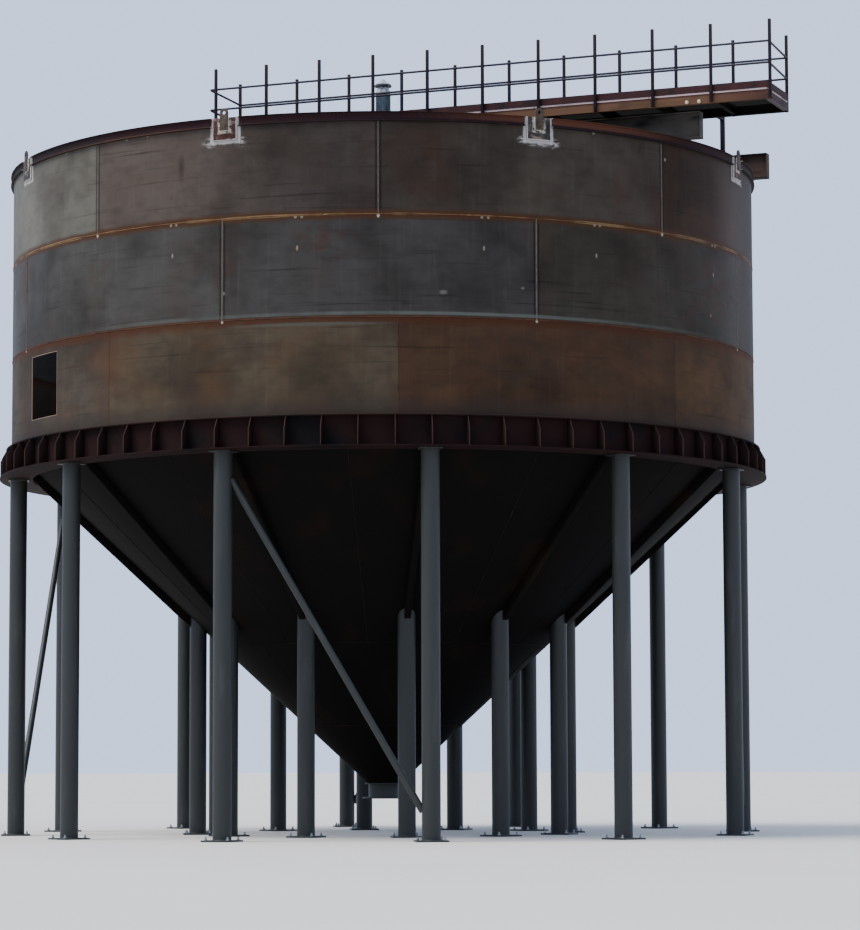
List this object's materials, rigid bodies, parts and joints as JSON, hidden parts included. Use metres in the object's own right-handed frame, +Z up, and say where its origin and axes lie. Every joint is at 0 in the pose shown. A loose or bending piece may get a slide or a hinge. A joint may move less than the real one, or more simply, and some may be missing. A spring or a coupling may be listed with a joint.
{
  "type": "elevated cone-bottom steel water tank",
  "caption": "Open-top round welded steel tank on a ring girder, with a ribbed cone bottom on two rings of columns and a bridge with a walkway and a hooded drive.",
  "frame": {"origin": "on the floor under the middle of the whole part's box; the tank's own vertical axis stands 0.5565 m towards -X, because the walkway overhangs the rim on +X only", "axes": "+X along the bridge towards the walkway's overhanging end, +Z up, +Y from the walkway towards the far bridge girder"},
  "size_m": [13.484, 12.371, 12.32],
  "materials": {
    "mill_scale_plate": "hot-rolled plate with dark mill scale, weld seams and rust bleeding",
    "blue_scale_plate": "hot-rolled plate with blue-grey mill scale",
    "rusted_plate": "hot-rolled plate with brown surface rust",
    "dark_underside_steel": "dark rusted scale in shade, with heat marks",
    "red_oxide_primer": "matt maroon shop primer, worn at edges",
    "rusted_walkway_steel": "rust-tan channel section",
    "slate_column_paint": "satin slate-grey coating",
    "dark_handrail_paint": "dark primer on tube, dull",
    "galvanised_grating": "dull spangled zinc",
    "drive_paint": "blue-grey machine enamel"
  },
  "bodies": {
    "root": {"shell_course_bottom": "rusted_plate", "shell_course_middle": "blue_scale_plate", "shell_course_top": "mill_scale_plate", "curb_ring": "red_oxide_primer", "lifting_lug_1": "red_oxide_primer", "lifting_lug_2": "red_oxide_primer", "lifting_lug_3": "red_oxide_primer", "lifting_lug_4": "red_oxide_primer", "lifting_lug_5": "red_oxide_primer", "lifting_lug_6": "red_oxide_primer", "lifting_lug_7": "red_oxide_primer", "lifting_lug_8": "red_oxide_primer", "ring_girder": "dark_underside_steel", "cone_upper": "dark_underside_steel", "cone_lower": "dark_underside_steel", "cone_tip": "dark_underside_steel", "underflow_outlet": "slate_column_paint", "outer_column_01": "slate_column_paint", "outer_column_02": "slate_column_paint", "outer_column_03": "slate_column_paint", "outer_column_04": "slate_column_paint", "outer_column_05": "slate_column_paint", "outer_column_06": "slate_column_paint", "outer_column_07": "slate_column_paint", "outer_column_08": "slate_column_paint", "outer_column_09": "slate_column_paint", "outer_column_10": "slate_column_paint", "outer_column_11": "slate_column_paint", "outer_column_12": "slate_column_paint", "inner_column_01": "slate_column_paint", "inner_column_02": "slate_column_paint", "inner_column_03": "slate_column_paint", "inner_column_04": "slate_column_paint", "inner_column_05": "slate_column_paint", "inner_column_06": "slate_column_paint", "inner_column_07": "slate_column_paint", "inner_column_08": "slate_column_paint", "inner_column_09": "slate_column_paint", "inner_column_10": "slate_column_paint", "inner_column_11": "slate_column_paint", "inner_column_12": "slate_column_paint", "brace_1": "slate_column_paint", "brace_2": "slate_column_paint", "brace_3": "slate_column_paint", "brace_4": "slate_column_paint", "bridge_girder_near": "dark_underside_steel", "bridge_girder_far": "dark_underside_steel", "walkway_frame": "rusted_walkway_steel", "walkway_deck": "galvanised_grating", "toe_board_near": "red_oxide_primer", "toe_board_far": "red_oxide_primer", "handrail_near": "dark_handrail_paint", "handrail_far": "dark_handrail_paint", "walkway_leg": "dark_handrail_paint", "drive_base": "dark_underside_steel", "gear_unit": "drive_paint", "drive_motor": "drive_paint"}
  },
  "joints": []
}
